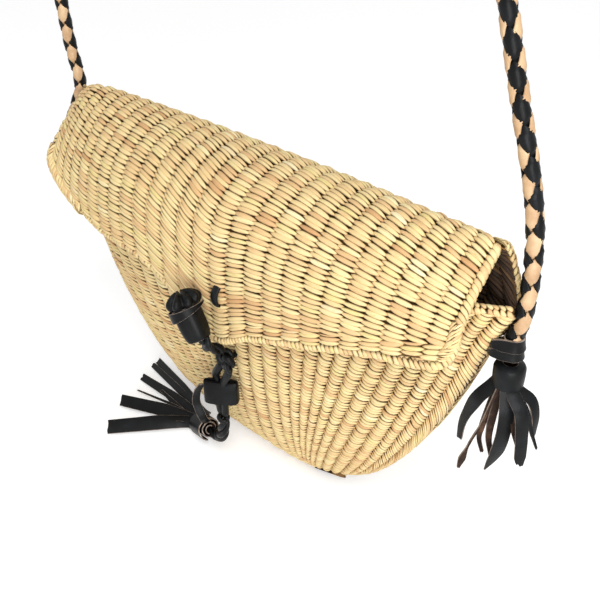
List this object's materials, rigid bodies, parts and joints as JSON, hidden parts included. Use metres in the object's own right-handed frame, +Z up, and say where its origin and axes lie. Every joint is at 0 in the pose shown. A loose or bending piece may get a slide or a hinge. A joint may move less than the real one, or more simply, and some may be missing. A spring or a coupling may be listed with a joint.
{
  "type": "woven crossbody bag",
  "caption": "Half-moon woven straw crossbody bag with a fold-over flap, toggle closure, leather tassels and a round braided strap.",
  "frame": {"origin": "the point over the bag's middle where the strap hangs, on the strap's middle line", "axes": "+X along the bag's width to its right-hand end, +Y to the back, +Z up"},
  "size_m": [0.3615, 0.105, 0.5157],
  "materials": {
    "straw_weave": "matte woven straw",
    "black_leather": "satin, hand cut",
    "braided_leather": "black and natural tan braid"
  },
  "bodies": {
    "pouch": {"pouch_basket": "straw_weave", "front_rim_braid": "straw_weave", "back_edge_braid_left": "straw_weave", "back_edge_braid_right": "straw_weave", "braided_strap": "braided_leather", "strap_collar_left": "black_leather", "upper_lashing_left": "black_leather", "lower_lashing_left": "black_leather", "strap_collar_right": "black_leather", "upper_lashing_right": "black_leather", "lower_lashing_right": "black_leather", "closure_knot": "black_leather", "lanyard_strand_left": "black_leather", "lanyard_strand_right": "black_leather"},
    "flap": {"flap_panel": "straw_weave", "flap_edge_braid": "straw_weave", "toggle_barrel": "black_leather", "toggle_wrap_band": "black_leather", "toggle_crown_knot": "black_leather", "flap_thong_stitch": "black_leather", "toggle_loop": "black_leather"},
    "bead": {"slider_bead": "black_leather"},
    "front_tassel": {"front_tassel_thong": "black_leather", "front_tassel": "black_leather"},
    "left_tassel": {"side_tassel_band_left": "black_leather", "side_tassel_fringe_left": "black_leather"},
    "right_tassel": {"side_tassel_band_right": "black_leather", "side_tassel_fringe_right": "black_leather"}
  },
  "joints": [
    {"name": "flap_fold", "type": "hinge", "parent": "pouch", "child": "flap", "pos_m": [0, 0.0047, -0.3157], "axis": [-1, 0, 0], "range_deg": [0, 120]},
    {"name": "bead_slide", "type": "slide", "parent": "pouch", "child": "bead", "axis": [0, 0, 1], "range_m": [-0.0115, 0.002]},
    {"name": "front_tassel_swing", "type": "hinge", "parent": "pouch", "child": "front_tassel", "pos_m": [0.009, -0.0385, -0.474], "axis": [0, -1, 0], "range_deg": [0, 70]},
    {"name": "left_tassel_swing", "type": "hinge", "parent": "pouch", "child": "left_tassel", "pos_m": [-0.1664, 0, -0.36995], "axis": [0, 1, 0], "range_deg": [-4, 35]},
    {"name": "right_tassel_swing", "type": "hinge", "parent": "pouch", "child": "right_tassel", "pos_m": [0.1664, 0, -0.36995], "axis": [0, -1, 0], "range_deg": [-4, 35]}
  ]
}
